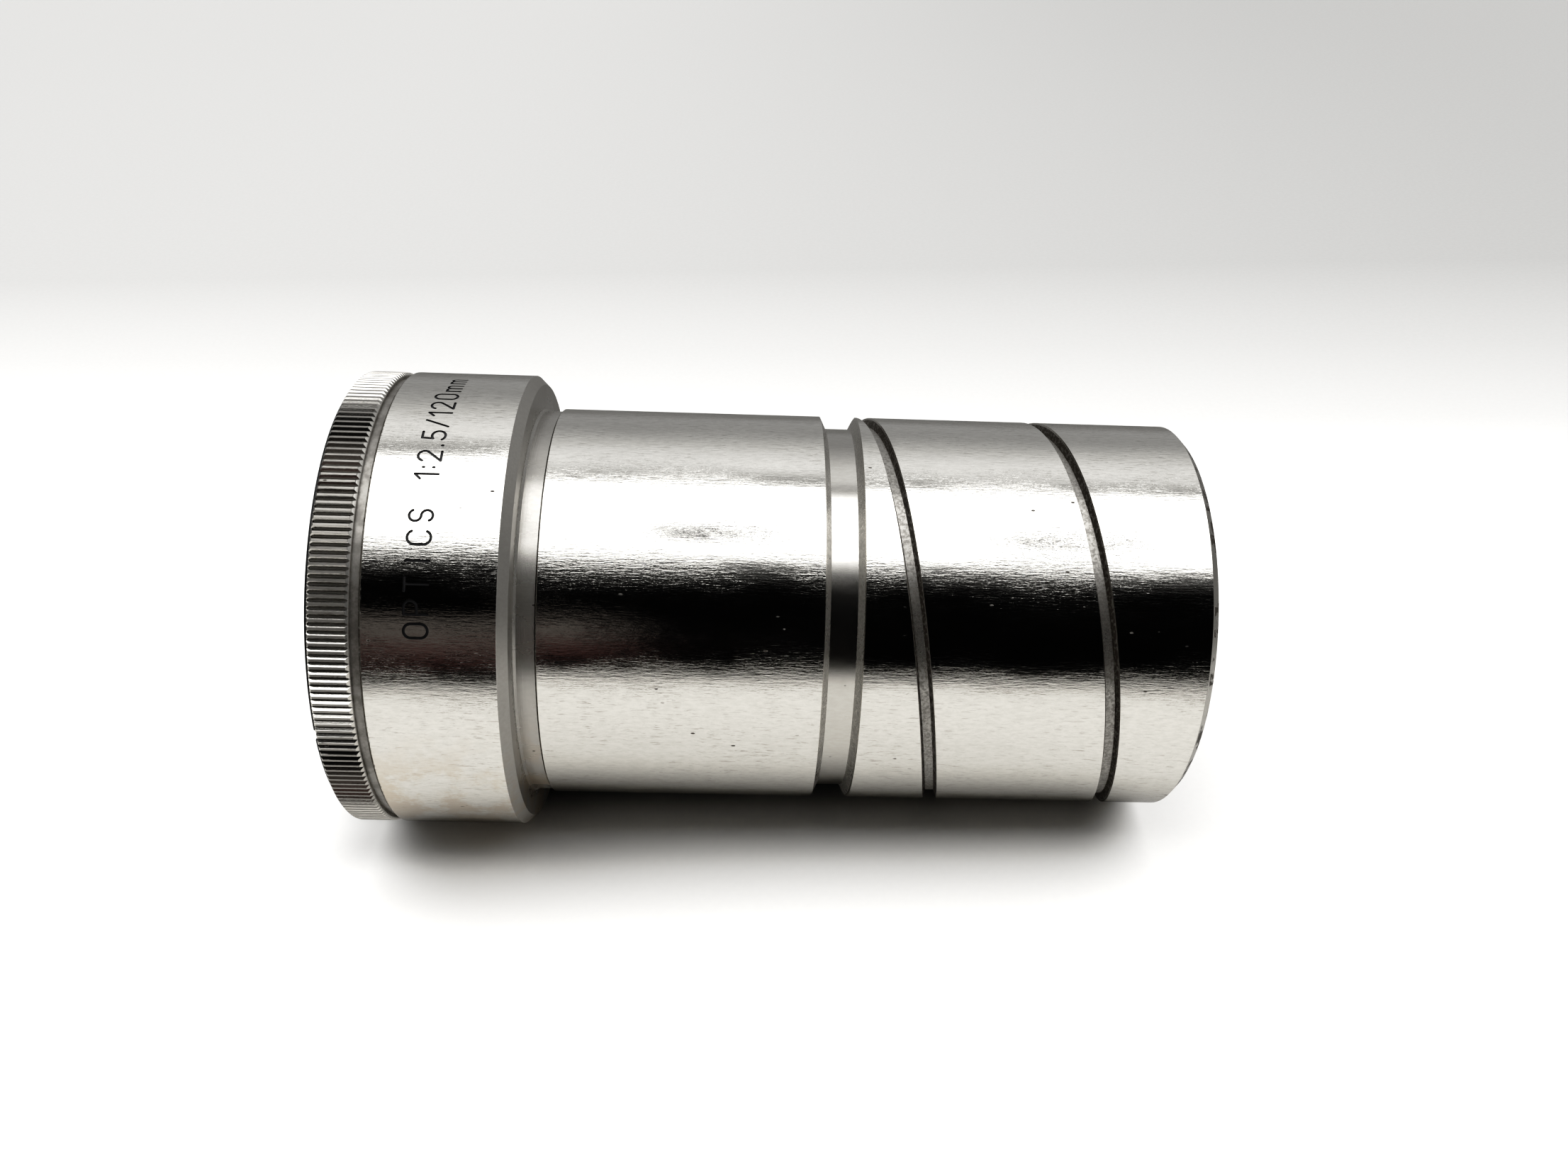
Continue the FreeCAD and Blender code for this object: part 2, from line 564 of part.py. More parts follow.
def middle_retainer():
    """The threaded ring that holds the middle glass in its cell."""
    nose = "size.middle_edge_front - size.slip_gap"
    outline = [
        ("size.cell_front", "size.cell_opening"),
        ("size.cell_front", "size.cell_thread_bore - size.thread_gap"),
        (f"{nose} - size.thread_depth", "size.cell_thread_bore - size.thread_gap"),
        (f"{nose} - size.thread_depth", "size.middle_glass_radius"),
        (nose, "size.middle_glass_radius"),
        (nose, "size.cell_opening"),
    ]
    body = turned("middle_retainer", outline)
    spanner_slots(body, "middle_slots", "size.cell_front", "+",
                  "size.cell_opening - size.slot_overrun", "size.cell_thread_bore + size.slot_overrun")
    return finished(body, "middle_retainer")


def rear_retainer():
    """The threaded ring that holds the rear pair of glasses in the tube."""
    rear = "size.rear_edge_rear + size.rear_ring_length"
    outline = [
        ("size.rear_edge_rear", "size.rear_opening"),
        ("size.rear_edge_rear", "size.rear_glass_radius - size.slip_gap"),
        ("size.rear_edge_rear + size.thread_depth", "size.rear_glass_radius - size.slip_gap"),
        ("size.rear_edge_rear + size.thread_depth", "size.tube_thread_radius"),
        (rear, "size.tube_thread_radius"),
        (rear, "size.rear_opening + size.thread_depth"),
    ]
    body = turned("rear_retainer", outline)
    spanner_slots(body, "rear_slots", rear, "-",
                  "size.rear_opening - size.slot_overrun", "size.tube_thread_radius + size.slot_overrun")
    return finished(body, "rear_retainer")


def baffle(name, place):
    """A light baffle pressed into the barrel: a ring tapered to a thin edge."""
    outside = "size.barrel_bore_radius - size.slip_gap"
    half_taper = "(size.baffle_thickness - size.baffle_edge) / 2"
    outline = [
        (place, outside),
        (f"{place} + size.baffle_thickness", outside),
        (f"{place} + size.baffle_thickness - {half_taper}", "size.baffle_opening"),
        (f"{place} + {half_taper}", "size.baffle_opening"),
    ]
    return finished(turned(name, outline), name)


def locking_ring(name, rear, thickness, inner, outer):
    """A threaded flat ring with spanner slots in its front face."""
    front = f"{rear} - {thickness}"
    body = plain_ring(name, front, rear, inner, outer)
    spanner_slots(body, name + "_slots", front, "+",
                  f"{inner} - size.slot_overrun", f"{outer} + size.slot_overrun")
    return finished(body, name)


barrel()
head()
knurled_ring()
front_bezel()

lens_tube()
middle_cell()
middle_retainer()
rear_retainer()
baffle("front_baffle", "size.front_baffle_place")
baffle("rear_baffle", "size.rear_baffle_place")

flange_front = "-size.head_seat - size.shim_thickness - size.tube_flange_thickness"
locking_ring("tube_lock_ring", flange_front, "size.tube_lock_thickness",
             "size.tube_lock_opening", "size.cell_thread_radius")
locking_ring("cell_lock_ring", "size.cell_front", "size.cell_lock_thickness",
             "size.cell_lock_opening", "size.tube_bore_radius - size.thread_gap")

cell_rear = "size.middle_edge_rear + size.slip_gap + size.cell_lip"
stop_front = f"{cell_rear} + size.shim_thickness"
stop_rear = f"{stop_front} + size.stop_thickness"
tube_fit = "size.tube_bore_radius - size.slip_gap"
finished(plain_ring("middle_shim", cell_rear, stop_front, "size.cell_opening", tube_fit), "middle_shim")
finished(plain_ring("aperture_stop", stop_front, stop_rear, "size.stop_radius", tube_fit), "aperture_stop")
finished(plain_ring("rear_spacer", stop_rear, "size.tube_shoulder", "size.rear_glass_radius", tube_fit),
         "rear_spacer")
finished(plain_ring("focus_shim", "-size.head_seat - size.shim_thickness", "-size.head_seat",
                    "size.tube_radius + size.slip_gap", "size.tube_flange_radius"), "focus_shim")
finished(plain_ring("front_shim", "-size.front_edge_rear", "-size.front_edge_rear + size.shim_thickness",
                    "size.aperture_radius", "size.front_glass_radius"), "front_shim")

glass("front_glass", "-size.front_glass_vertex", "-size.front_edge_rear - size.slip_gap / 2",
      "size.front_glass_radius", [
          ("Common", "-size.front_glass_vertex + size.front_curve_1", "size.front_curve_1"),
          ("Cut", "-size.front_glass_vertex + size.front_glass_thickness + size.front_curve_2",
           "size.front_curve_2"),
      ])
glass("middle_glass", "size.middle_edge_front", "size.middle_edge_rear", "size.middle_glass_radius", [
    ("Cut", "size.middle_glass_vertex - size.middle_curve_1", "size.middle_curve_1"),
    ("Cut", "size.middle_glass_vertex + size.middle_glass_thickness + size.middle_curve_2",
     "size.middle_curve_2"),
])
joint_vertex = "size.rear_glass_vertex + size.flint_thickness"
rear_vertex = f"{joint_vertex} + size.crown_thickness"
glass("rear_flint_glass", "size.rear_glass_vertex", rear_vertex, "size.rear_glass_radius", [
    ("Common", "size.rear_glass_vertex + size.rear_curve_1", "size.rear_curve_1"),
    ("Cut", f"{joint_vertex} + size.rear_curve_2", "size.rear_curve_2"),
])
glass("rear_crown_glass", "size.rear_glass_vertex", rear_vertex, "size.rear_glass_radius", [
    ("Common", f"{joint_vertex} + size.cement_gap + size.rear_curve_2", "size.rear_curve_2"),
    ("Common", f"{rear_vertex} - size.rear_curve_3", "size.rear_curve_3"),
])

doc.recompute()
for item in doc.Objects:
    if "Invalid" in item.State or "Error" in item.State:
        raise RuntimeError(f"{item.Name} is in state {item.State}")
for part in parts:
    if part.Shape.isNull() or not part.Shape.isValid():
        raise RuntimeError(part.Label + " has no valid shape")
    part.Shape.exportStep(f"parts/{part.Label}.step")
    print(f"{part.Label:18s} volume {part.Shape.Volume:9.1f} mm3, {len(part.Shape.Solids)} solid")
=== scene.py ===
"""The looks of a slide-projection lens that lies on a pale studio floor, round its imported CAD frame."""

import math

import bpy
from mathutils import Matrix, Vector


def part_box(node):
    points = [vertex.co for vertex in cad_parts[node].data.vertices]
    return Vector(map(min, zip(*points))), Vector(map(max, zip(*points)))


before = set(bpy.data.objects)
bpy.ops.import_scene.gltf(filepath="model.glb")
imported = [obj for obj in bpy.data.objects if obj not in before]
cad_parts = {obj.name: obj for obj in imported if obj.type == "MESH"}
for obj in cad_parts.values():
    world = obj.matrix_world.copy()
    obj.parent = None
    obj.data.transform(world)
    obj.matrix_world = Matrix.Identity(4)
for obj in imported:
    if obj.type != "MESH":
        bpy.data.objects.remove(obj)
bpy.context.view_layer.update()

MM = 0.001

# Radii, and places along the axis, in millimetres. The axis is X: its zero is at the barrel's front end and
# plus is towards the rear. What a node's box holds is read from there.
HEAD_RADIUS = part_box("head_shell")[1].z / MM
HEAD_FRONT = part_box("head_shell")[0].x / MM
HEAD_REAR_EDGE = -3.85
LETTERS = (-15.5, -10.5)
KNURL_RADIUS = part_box("knurled_ring")[1].z / MM
KNURL = (-25.4, -20.85)
BARREL_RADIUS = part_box("barrel")[1].z / MM
BARREL_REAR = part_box("barrel")[1].x / MM
BARREL_REAR_BEVEL = 1.0
RING_GROOVE = (34.4, 39.6)
GROOVES_CLEAN_FROM = 80.0
BORE_LIMIT = 24.3

# The two spherical faces of each glass, front and rear: each one's centre on the axis and its radius.
GLASS_SPHERES = {
    "front_glass": ((24.11 * MM, 47.11 * MM), (1300.8 * MM, 1313.8 * MM)),
    "middle_glass": ((-58.92 * MM, 65.74 * MM), (48.48 * MM, 39.16 * MM)),
    "rear_flint_glass": ((114.31 * MM, 92.36 * MM), (98.20 * MM, 73.75 * MM)),
    "rear_crown_glass": ((98.24 * MM, 73.75 * MM), (-21.52 * MM, 54.97 * MM)),
}
GLASS_IOR = 1.62
COATING_IOR = 1.38
COATING_NANOMETRES = 115.0

ALUMINIUM = (0.79, 0.775, 0.735, 1)
SCRATCH = (0.36, 0.345, 0.32, 1)
STAIN = (0.60, 0.52, 0.42, 1)
# Near-black for dirty marks and also for painted shade in recesses.
DIRT_AND_SHADE = (0.055, 0.048, 0.040, 1)
PAINT = (0.012, 0.012, 0.013, 1)
ANODISED = (0.010, 0.010, 0.011, 1)
WORN_BLACK = (0.04, 0.04, 0.042, 1)
BRASS = (0.78, 0.56, 0.25, 1)
TARNISH = (0.45, 0.29, 0.12, 1)
CLEAR = (1, 1, 1, 1)

# A Mix node keeps its colour sockets after those for numbers and vectors.
MIX_FIRST_COLOUR = 6
MIX_SECOND_COLOUR = 7
MIX_COLOUR_RESULT = 2


class Shader:
    """A node tree with short calls for the nodes that the materials and the world use."""

    def __init__(self, tree):
        self.tree = tree
        self.tree.nodes.clear()

    def node(self, kind, **settings):
        """A new node, with its properties set."""
        node = self.tree.nodes.new(kind)
        for name, setting in settings.items():
            setattr(node, name, setting)
        return node

    def plug(self, socket, source):
        """Give an input a value, or link an output to it."""
        if isinstance(source, bpy.types.NodeSocket):
            self.tree.links.new(source, socket)
        else:
            socket.default_value = source

    def math(self, operation, first, second=0.0, clamp=False):
        """One Math node."""
        node = self.node("ShaderNodeMath", operation=operation, use_clamp=clamp)
        self.plug(node.inputs[0], first)
        self.plug(node.inputs[1], second)
        return node.outputs[0]

    def times(self, *factors):
        """The product of several values."""
        product = factors[0]
        for factor in factors[1:]:
            product = self.math("MULTIPLY", product, factor)
        return product

    def most(self, *values):
        """The largest of several values."""
        largest = values[0]
        for value in values[1:]:
            largest = self.math("MAXIMUM", largest, value)
        return largest

    def inverse(self, value):
        """1 minus a value."""
        return self.math("SUBTRACT", 1.0, value)

    def vector(self, operation, first, second=(0, 0, 0)):
        """One Vector Math node."""
        node = self.node("ShaderNodeVectorMath", operation=operation)
        self.plug(node.inputs[0], first)
        self.plug(node.inputs[1], second)
        return node.outputs["Value"] if operation in ("LENGTH", "DOT_PRODUCT") else node.outputs[0]

    def stretched(self, vector, *factors):
        """A vector with each component times its own factor."""
        return self.vector("MULTIPLY", vector, factors)

    def parts(self, vector):
        """The three components of a vector."""
        node = self.node("ShaderNodeSeparateXYZ")
        self.plug(node.inputs[0], vector)
        return node.outputs

    def joined(self, x, y, z):
        """A vector from three components."""
        node = self.node("ShaderNodeCombineXYZ")
        for socket, source in zip(node.inputs, (x, y, z)):
            self.plug(socket, source)
        return node.outputs[0]

    def step(self, value, low, high, start=0.0, end=1.0):
        """A smooth step of the value between two limits."""
        node = self.node("ShaderNodeMapRange", interpolation_type="SMOOTHSTEP")
        for name, source in zip(("Value", "From Min", "From Max", "To Min", "To Max"),
                                (value, low, high, start, end)):
            self.plug(node.inputs[name], source)
        return node.outputs[0]

    def band(self, value, low, high, soft):
        """1 between two limits, with soft ends."""
        rise = self.step(value, low - soft, low + soft)
        fall = self.step(value, high - soft, high + soft, start=1.0, end=0.0)
        return self.math("MULTIPLY", rise, fall)

    def noise(self, vector, scale, detail=2.0, roughness=0.5):
        """Noise over the vector."""
        node = self.node("ShaderNodeTexNoise")
        self.plug(node.inputs["Vector"], vector)
        node.inputs["Scale"].default_value = scale
        node.inputs["Detail"].default_value = detail
        node.inputs["Roughness"].default_value = roughness
        return node.outputs[0]

    def mix(self, factor, first, second):
        """Two colours mixed."""
        node = self.node("ShaderNodeMix", data_type="RGBA")
        self.plug(node.inputs[0], factor)
        self.plug(node.inputs[MIX_FIRST_COLOUR], first)
        self.plug(node.inputs[MIX_SECOND_COLOUR], second)
        return node.outputs[MIX_COLOUR_RESULT]

    def bump(self, height):
        """A normal from a height in millimetres."""
        node = self.node("ShaderNodeBump")
        node.inputs["Strength"].default_value = 1.0
        node.inputs["Distance"].default_value = MM
        self.plug(node.inputs["Height"], height)
        return node.outputs[0]

    def ramp(self, value, stops):
        """A grey ramp over stops of (place, level)."""
        node = self.node("ShaderNodeValToRGB")
        self.plug(node.inputs[0], value)
        elements = node.color_ramp.elements
        while len(elements) < len(stops):
            elements.new(0.5)
        for element, (place, level) in zip(elements, stops):
            element.position = place
            element.color = (level, level, level, 1)
        return node.outputs[0]


def material(name):
    """A new material, its shader calls and its Principled node."""
    made = bpy.data.materials.new(name)
    made.use_nodes = True
    shader = Shader(made.node_tree)
    surface = shader.node("ShaderNodeBsdfPrincipled")
    output = shader.node("ShaderNodeOutputMaterial")
    shader.plug(output.inputs["Surface"], surface.outputs[0])
    return made, shader, surface


def axis_places(shader):
    """Position, place along the axis and distance from the axis, in millimetres, on the piece itself."""
    position = shader.node("ShaderNodeTexCoord").outputs["Object"]
    position = shader.stretched(position, 1 / MM, 1 / MM, 1 / MM)
    across = shader.stretched(position, 0, 1, 1)
    return position, shader.parts(position)["X"], shader.vector("LENGTH", across)


def leant_outward(shader, normal, rounding):
    """A normal that leans away from the axis."""
    place = shader.node("ShaderNodeNewGeometry").outputs["Position"]
    outward = shader.vector("NORMALIZE", shader.stretched(place, 0, 1, 1))
    lean = shader.stretched(outward, 0, rounding, rounding)
    return shader.vector("NORMALIZE", shader.vector("ADD", normal, lean))


def pitting(shader, position, wear):
    """A mask of small pits, where the skin is worn."""
    cells = shader.node("ShaderNodeTexVoronoi", feature="F1")
    shader.plug(cells.inputs["Vector"], shader.stretched(position, 0.5, 1, 1))
    cells.inputs["Scale"].default_value = 0.55
    return shader.times(shader.step(cells.outputs["Distance"], 0.05, 0.09, start=1.0, end=0.0),
                        shader.step(wear, 0.48, 0.6))


def aluminium(name, skin_radius, dirt_and_shade, paint=None, stains=0.0, rounding=0.0):
    """Machined aluminium: rubbed along the axis on its outer skin and turned everywhere else.

    The third argument and paint are functions of the shader, the position, the place along the axis and the
    radius, and give a mask; the third argument's mask holds dirty marks and painted shade. rounding leans
    the normals away from the axis, as on worn knurl teeth."""
    made, shader, surface = material(name)
    position, along, radius = axis_places(shader)
    skin = shader.step(radius, skin_radius - 0.06, skin_radius - 0.02)
    off_skin = shader.inverse(skin)

    # Rubbing marks: short dashes along the axis, in two sizes. They are deeper where the skin is worn.
    wear = shader.noise(shader.stretched(position, 0.35, 1, 1), 0.16, detail=5.0, roughness=0.6)
    dashes = shader.noise(shader.stretched(position, 0.13, 1, 1), 4.5, detail=3.0, roughness=0.68)
    long_dashes = shader.noise(shader.stretched(position, 0.03, 1, 1), 3.2, detail=2.0, roughness=0.6)
    dash_depth = shader.step(wear, 0.38, 0.6, start=0.011, end=0.027)
    rubbed = shader.math("ADD", shader.times(dashes, dash_depth), shader.times(long_dashes, 0.005))

    # Turning marks: fine rings round the axis.
    rings = shader.joined(along, radius, shader.times(shader.parts(position)["Z"], 0.02))
    turned = shader.noise(rings, 7.0, detail=3.0, roughness=0.7)
    grain = shader.noise(position, 9.0)

    heights = shader.math("ADD", shader.times(rubbed, skin), shader.times(turned, off_skin, 0.012))
    heights = shader.math("ADD", heights, shader.times(grain, 0.0015))
    normal = shader.bump(heights)
    if rounding:
        normal = leant_outward(shader, normal, rounding)

    # Dark scratches along the rubbing marks, a faint mottle, and a duller tone off the skin.
    scratches = shader.times(shader.step(dashes, 0.44, 0.34),
                             shader.step(wear, 0.35, 0.65, start=0.35, end=1.0), skin)
    mottle = shader.noise(shader.stretched(position, 0.35, 1, 1), 2.4, detail=3.0, roughness=0.7)
    mottle = shader.step(mottle, 0.35, 0.65, start=0.0, end=0.17)
    marks = shader.math("ADD", shader.times(scratches, 0.6), mottle, clamp=True)
    colour = shader.mix(marks, ALUMINIUM, SCRATCH)
    colour = shader.mix(shader.times(off_skin, 0.4), colour, SCRATCH)
    if stains:
        low = shader.step(shader.parts(position)["Z"], 5.0, -14.0)
        clouds = shader.step(shader.noise(position, 0.16, detail=5.0, roughness=0.7), 0.44, 0.6)
        colour = shader.mix(shader.times(clouds, low, stains), colour, STAIN)
    pits = shader.times(pitting(shader, position, wear), 0.85)
    # Real pits and dirty marks, and painted shade: the third argument's mask darkens the colour towards
    # near-black, raises the roughness and lowers the metal.
    grime_and_shade = shader.most(dirt_and_shade(shader, position, along, radius), pits)
    colour = shader.mix(shader.math("MULTIPLY", grime_and_shade, 1.45, clamp=True), colour, DIRT_AND_SHADE)

    roughness = shader.step(wear, 0.3, 0.7, start=0.08, end=0.14)
    roughness = shader.math("ADD", roughness, shader.times(grime_and_shade, 0.35))
    roughness = shader.math("ADD", roughness, shader.times(off_skin, 0.08))
    metallic = shader.inverse(shader.times(grime_and_shade, 0.8))
    if paint:
        fill = paint(shader, position, along, radius)
        colour = shader.mix(fill, colour, PAINT)
        roughness = shader.math("ADD", roughness, shader.times(fill, 0.4))
        metallic = shader.times(metallic, shader.inverse(fill))

    shader.plug(surface.inputs["Base Color"], colour)
    shader.plug(surface.inputs["Metallic"], metallic)
    shader.plug(surface.inputs["Roughness"], roughness)
    shader.plug(surface.inputs["Normal"], normal)
    return made


def speckle(shader, position, scale, low, high):
    """A broken-up noise mask over the surface, for dirty specks and for patches of painted shade."""
    return shader.step(shader.noise(position, scale, detail=4.0, roughness=0.65), low, high)


def uneven(shader, position, scale, low, high, least, most):
    """How strong a coat of dirty marks and painted shade is, from least to most, in patches."""
    return shader.step(speckle(shader, position, scale, low, high), 0.0, 1.0, start=least, end=most)


def blackened(shader, radius):
    """A mask for the blackened bores."""
    return shader.step(radius, BORE_LIMIT, BORE_LIMIT + 0.05, start=1.0, end=0.0)


def barrel_dirt_and_shade(shader, position, along, radius):
    """Dirty marks and painted shade in the barrel's grooves, dirty specks at its rear bevel, and its
    blackened bore.
    """
    depth = shader.math("SUBTRACT", BARREL_RADIUS, radius)
    facing = shader.parts(shader.node("ShaderNodeTexCoord").outputs["Normal"])["X"]
    wall = shader.step(shader.math("ABSOLUTE", facing), 0.3, 0.6)
    ring = shader.band(along, *RING_GROOVE, soft=0.1)
    in_groove = shader.step(depth, 0.12, 0.3)
    # Partly dirt, partly painted shade: the groove walls and the spiral groove are darkened, as shade falls
    # in these recesses.
    walls = shader.times(wall, in_groove, shader.step(along, GROOVES_CLEAN_FROM, GROOVES_CLEAN_FROM - 1.0),
                         shader.step(ring, 0.0, 1.0, start=0.9, end=0.35),
                         uneven(shader, position, 2.2, 0.35, 0.65, least=0.6, most=1.0))
    spiral = shader.times(in_groove, shader.inverse(ring),
                          shader.step(along, GROOVES_CLEAN_FROM + 1.0, GROOVES_CLEAN_FROM),
                          uneven(shader, position, 2.6, 0.3, 0.7, least=0.25, most=0.5))
    rear = shader.times(shader.step(along, BARREL_REAR - 0.95, BARREL_REAR - 0.6),
                        speckle(shader, position, 0.45, 0.5, 0.58), 0.92)
    return shader.most(walls, spiral, rear, blackened(shader, radius))


def head_dirt_and_shade(shader, position, along, radius):
    """Specks at the head's front edge, a duller finish with painted shade on its rear bevel and neck, and
    its blackened bore.
    """
    front = shader.times(shader.step(along, HEAD_FRONT + 0.45, HEAD_FRONT + 0.2),
                         speckle(shader, position, 1.0, 0.56, 0.62), 0.9)
    # A duller finish and painted shade: the rear bevel and neck are darkened, more so at larger radius.
    dull_and_shaded = shader.times(shader.step(along, HEAD_REAR_EDGE - 0.05, HEAD_REAR_EDGE + 0.05),
                        shader.step(radius, 25.0, 29.0, start=0.19, end=0.34))
    return shader.most(front, dull_and_shaded, blackened(shader, radius))


def engraving(shader, position, along, radius):
    """The paint in the engraved letters."""
    below = shader.step(radius, HEAD_RADIUS - 0.05, HEAD_RADIUS - 0.03, start=1.0, end=0.0)
    return shader.times(below, shader.band(along, *LETTERS, soft=0.05))


def knurl_dirt_and_shade(shader, position, along, radius):
    """Dirty marks and painted shade at the bottom of the knurl and on the plain shoulder behind it, and a
    painted dark reflection on its crests.
    """
    knurl_rear = KNURL[1]
    # Partly dirt, partly painted shade at the roots of the teeth.
    root_dirt_and_shade = shader.times(shader.step(radius, KNURL_RADIUS - 0.30, KNURL_RADIUS - 0.40),
                       shader.band(along, *KNURL, soft=0.05), 0.5)
    # Painted dark reflection: the crests are darkened.
    dark_crest_reflection = shader.times(shader.step(radius, KNURL_RADIUS - 0.04, KNURL_RADIUS - 0.02), 0.5)
    # Partly dirt, partly painted shade on the plain shoulder behind the knurl.
    shoulder = shader.times(shader.step(along, knurl_rear - 0.1, knurl_rear),
                            uneven(shader, position, 0.5, 0.3, 0.7, least=0.40, most=0.55))
    return shader.most(root_dirt_and_shade, shoulder, dark_crest_reflection, blackened(shader, radius))


def anodised(name):
    """Black anodised aluminium, turned, with a little wear."""
    made, shader, surface = material(name)
    position, along, radius = axis_places(shader)
    rings = shader.noise(shader.joined(along, radius, 0.0), 6.0, detail=2.0, roughness=0.6)
    wear = shader.noise(position, 0.3, detail=4.0, roughness=0.6)
    rubbed = shader.step(wear, 0.62, 0.75, start=0.0, end=0.35)
    shader.plug(surface.inputs["Base Color"], shader.mix(rubbed, ANODISED, WORN_BLACK))
    shader.plug(surface.inputs["Roughness"], shader.step(wear, 0.3, 0.7, start=0.45, end=0.6))
    shader.plug(surface.inputs["Normal"], shader.bump(shader.times(rings, 0.004)))
    surface.inputs["Specular IOR Level"].default_value = 0.3
    return made


def brass(name):
    """Thin rolled brass, slightly tarnished."""
    made, shader, surface = material(name)
    position = axis_places(shader)[0]
    tarnish = shader.step(shader.noise(position, 0.26, detail=4.0, roughness=0.6), 0.45, 0.7)
    shader.plug(surface.inputs["Base Color"], shader.mix(tarnish, BRASS, TARNISH))
    shader.plug(surface.inputs["Roughness"], shader.step(tarnish, 0.0, 1.0, start=0.25, end=0.45))
    rolled = shader.noise(shader.stretched(position, 1, 0.06, 1), 5.0)
    shader.plug(surface.inputs["Normal"], shader.bump(shader.times(rolled, 0.004)))
    surface.inputs["Metallic"].default_value = 1.0
    return made


def coated_glass(name, edge_radius):
    """Optical glass with a thin single coating, a blackened edge, and a little dust."""
    made, shader, surface = material(name)
    position, _, radius = axis_places(shader)
    edge = shader.step(radius, edge_radius - 0.12, edge_radius - 0.04)
    dust = shader.noise(position, 2.6, detail=3.0, roughness=0.6)
    dust = shader.step(dust, 0.68, 0.76, start=0.0, end=0.25)
    shader.plug(surface.inputs["Base Color"], shader.mix(edge, CLEAR, PAINT))
    shader.plug(surface.inputs["Roughness"], shader.most(shader.times(edge, 0.5), shader.times(dust, 0.4)))
    shader.plug(surface.inputs["Transmission Weight"], shader.inverse(edge))
    surface.inputs["IOR"].default_value = GLASS_IOR
    surface.inputs["Thin Film Thickness"].default_value = COATING_NANOMETRES
    surface.inputs["Thin Film IOR"].default_value = COATING_IOR
    return made


# A CAD face is turned when its mean normal, in directions that go round with the axis, is nearly 1 long
# and hardly points round the axis. It is on a sphere when it misses it by less than SPHERE_MISS on average.
STEADY_LENGTH = 0.985
TWIST_LIMIT = 0.3
SPHERE_MISS = 0.08 * MM


class Geometry(Shader):
    """A geometry node tree with the same short calls."""

    def __init__(self, name):
        group = bpy.data.node_groups.new(name, "GeometryNodeTree")
        group.interface.new_socket("Geometry", in_out="INPUT", socket_type="NodeSocketGeometry")
        group.interface.new_socket("Geometry", in_out="OUTPUT", socket_type="NodeSocketGeometry")
        super().__init__(group)
        self.source = self.node("NodeGroupInput").outputs[0]
        self.target = self.node("NodeGroupOutput").inputs[0]

    def scaled(self, vector, factor):
        """A vector times a value."""
        node = self.node("ShaderNodeVectorMath", operation="SCALE")
        self.plug(node.inputs[0], vector)
        self.plug(node.inputs["Scale"], factor)
        return node.outputs[0]

    def chosen(self, condition, otherwise, vector):
        """One of two vectors."""
        node = self.node("GeometryNodeSwitch", input_type="VECTOR")
        for socket, source in zip(node.inputs, (condition, otherwise, vector)):
            self.plug(socket, source)
        return node.outputs[0]

    def island_mean(self, vector):
        """A face's vector, averaged by area over its whole CAD face, which is one island of the mesh."""
        area = self.node("GeometryNodeInputMeshFaceArea").outputs[0]
        island = self.node("GeometryNodeInputMeshIsland").outputs["Island Index"]
        totals = []
        for kind, value in (("FLOAT_VECTOR", self.scaled(vector, area)), ("FLOAT", area)):
            node = self.node("GeometryNodeAccumulateField", data_type=kind, domain="FACE")
            self.plug(node.inputs["Value"], value)
            self.plug(node.inputs["Group ID"], island)
            totals.append(node.outputs["Total"])
        return self.scaled(totals[0], self.math("DIVIDE", 1.0, totals[1]))

    def on_faces(self, value, kind="FLOAT_VECTOR"):
        """A field worked out on faces, wherever it is used."""
        node = self.node("GeometryNodeFieldOnDomain", data_type=kind, domain="FACE")
        self.plug(node.inputs[0], value)
        return node.outputs[0]

    def directions(self, position):
        """The directions away from the axis and round it."""
        outward = self.vector("NORMALIZE", self.stretched(position, 0, 1, 1))
        return outward, self.vector("CROSS_PRODUCT", (1, 0, 0), outward)

    def finish(self, normal):
        """Set the corner normals and close the group."""
        node = self.node("GeometryNodeSetMeshNormal", mode="FREE", domain="CORNER")
        self.plug(node.inputs["Mesh"], self.source)
        self.plug(node.inputs["Custom Normal"], normal)
        self.plug(self.target, node.outputs[0])
        return self.tree


def turned_normals():
    """Exact normals for turned faces, whose normal keeps its angle to the axis all the way round."""
    tree = Geometry("turned_normals")
    position = tree.node("GeometryNodeInputPosition").outputs[0]
    normals = tree.node("GeometryNodeInputNormal")
    face_normal = normals.outputs["True Normal"]
    outward, around = tree.directions(position)
    share = tree.joined(tree.parts(face_normal)["X"], tree.vector("DOT_PRODUCT", face_normal, outward),
                        tree.vector("DOT_PRODUCT", face_normal, around))
    mean = tree.on_faces(tree.island_mean(tree.on_faces(share)))
    mean_parts = tree.parts(mean)
    steady = tree.math("GREATER_THAN", tree.vector("LENGTH", mean), STEADY_LENGTH)
    untwisted = tree.math("LESS_THAN", tree.math("ABSOLUTE", mean_parts["Z"]), TWIST_LIMIT)
    exact = tree.scaled((1, 0, 0), mean_parts["X"])
    exact = tree.vector("ADD", exact, tree.scaled(outward, mean_parts["Y"]))
    exact = tree.vector("ADD", exact, tree.scaled(around, mean_parts["Z"]))
    exact = tree.vector("NORMALIZE", exact)
    turned = tree.math("MULTIPLY", steady, untwisted)
    return tree.finish(tree.chosen(turned, normals.outputs["Normal"], exact))


